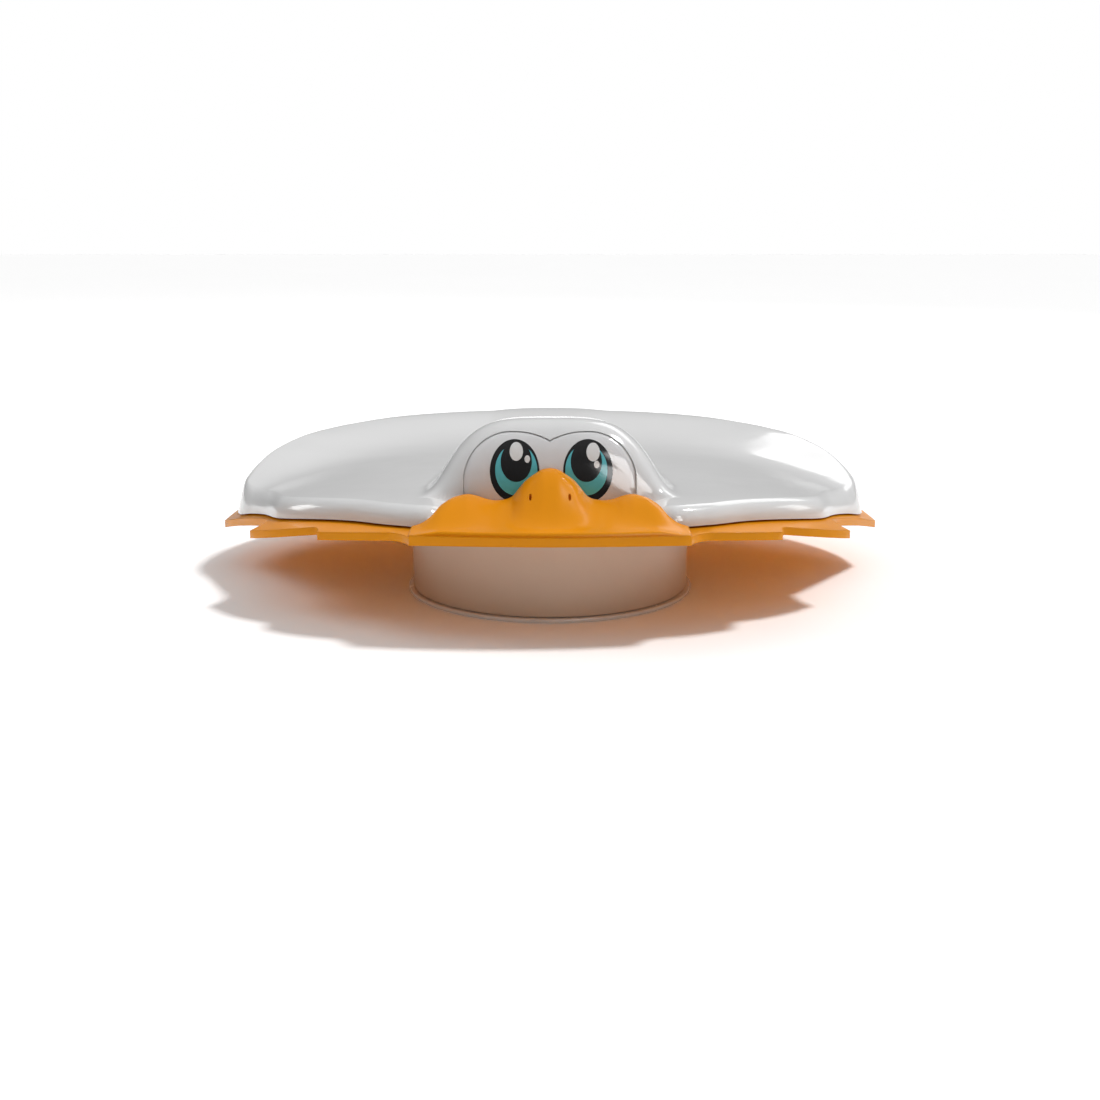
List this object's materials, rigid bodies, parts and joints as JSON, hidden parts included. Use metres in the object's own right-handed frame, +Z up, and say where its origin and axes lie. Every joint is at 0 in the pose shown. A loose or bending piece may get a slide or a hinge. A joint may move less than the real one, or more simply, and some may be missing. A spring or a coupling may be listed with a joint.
{
  "type": "floating chlorine dispenser",
  "caption": "Bird-shaped pool float with a white shell, an orange brim and beak, and a screw-on tablet cup with a turning dose dial.",
  "frame": {"origin": "centre of the flat underside of the dose dial, the face that the dispenser stands on", "axes": "+X across the wings, -Y towards the beak, +Z up"},
  "size_m": [0.2314, 0.1895, 0.0596],
  "materials": {
    "shell_white": "glossy moulded plastic",
    "face_white": "glossy moulded insert",
    "tray_orange": "glossy, slightly translucent orange",
    "cup_white": "satin gloss moulded plastic",
    "dial_white": "satin gloss moulded plastic",
    "eye_print": "printed label, gloss",
    "seal_rubber": "soft rubber",
    "foam": "closed-cell foam",
    "screw_steel": "stainless",
    "clip_steel": "stainless spring steel",
    "tablet": "pressed powder"
  },
  "bodies": {
    "float": {"upper_shell": "shell_white", "base_tray": "tray_orange", "face_plate": "face_white", "eye_left": "eye_print", "eye_right": "eye_print", "shell_gasket": "seal_rubber", "foam_head": "foam", "foam_back": "foam", "case_screws": "screw_steel", "screw_caps": "tray_orange"},
    "seal": {"cup_seal": "seal_rubber"},
    "cup": {"cup": "cup_white", "tablet_1": "tablet", "tablet_2": "tablet", "tablet_3": "tablet", "tablet_4": "tablet", "tablet_5": "tablet", "tablet_6": "tablet"},
    "dial": {"dose_dial": "dial_white", "dial_washer": "seal_rubber", "dial_clip": "clip_steel"}
  },
  "joints": [
    {"name": "cup_drop", "type": "slide", "parent": "float", "child": "seal", "axis": [0, 0, -1], "range_m": [0, 0.024]},
    {"name": "cup_unscrew", "type": "hinge", "parent": "seal", "child": "cup", "pos_m": [0, 0, 0], "axis": [0, 0, -1], "range_deg": [0, 120]},
    {"name": "dial_turn", "type": "hinge", "parent": "cup", "child": "dial", "pos_m": [0, 0, 0], "axis": [0, 0, 1], "range_deg": [0, 30]}
  ],
  "couplings": [
    {"joint": "cup_drop", "follows": "cup_unscrew", "m_per_rad": 0.011459}
  ]
}
